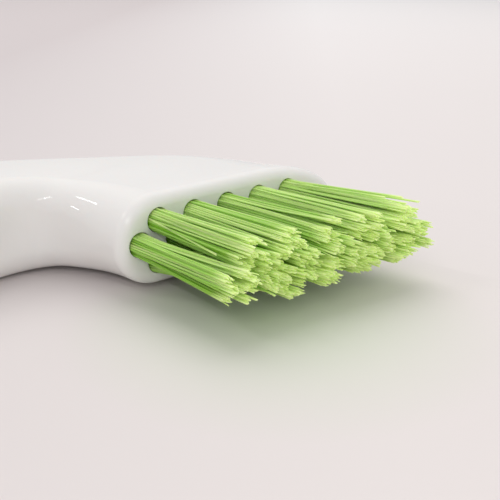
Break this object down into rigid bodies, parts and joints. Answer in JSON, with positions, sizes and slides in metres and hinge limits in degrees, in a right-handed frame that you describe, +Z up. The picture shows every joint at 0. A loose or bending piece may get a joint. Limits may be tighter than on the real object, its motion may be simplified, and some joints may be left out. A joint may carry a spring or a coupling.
{
  "type": "slicker brush",
  "caption": "Hand brush with a one-piece curved plastic body, a hanging hole and staggered rows of round filament tufts, each held by a metal anchor.",
  "frame": {"origin": "middle of the bottom of the box round the whole brush, as it lies on its side", "axes": "+X runs along the rows of tufts, from the handle's end to the toe; -Y is the way the tufts point; +Z is up, across the width of the brush"},
  "size_m": [0.196, 0.0852, 0.022],
  "materials": {
    "body_plastic": "polished white moulding",
    "filament": "satin green monofilament",
    "anchor_metal": "bright drawn strip"
  },
  "bodies": {
    "root": {"handle_body": "body_plastic", "tuft_01": "filament", "tuft_02": "filament", "tuft_03": "filament", "tuft_04": "filament", "tuft_05": "filament", "tuft_06": "filament", "tuft_07": "filament", "tuft_08": "filament", "tuft_09": "filament", "tuft_10": "filament", "tuft_11": "filament", "tuft_12": "filament", "tuft_13": "filament", "tuft_14": "filament", "tuft_15": "filament", "tuft_16": "filament", "staple_01": "anchor_metal", "staple_02": "anchor_metal", "staple_03": "anchor_metal", "staple_04": "anchor_metal", "staple_05": "anchor_metal", "staple_06": "anchor_metal", "staple_07": "anchor_metal", "staple_08": "anchor_metal", "staple_09": "anchor_metal", "staple_10": "anchor_metal", "staple_11": "anchor_metal", "staple_12": "anchor_metal", "staple_13": "anchor_metal", "staple_14": "anchor_metal", "staple_15": "anchor_metal", "staple_16": "anchor_metal"}
  },
  "joints": []
}
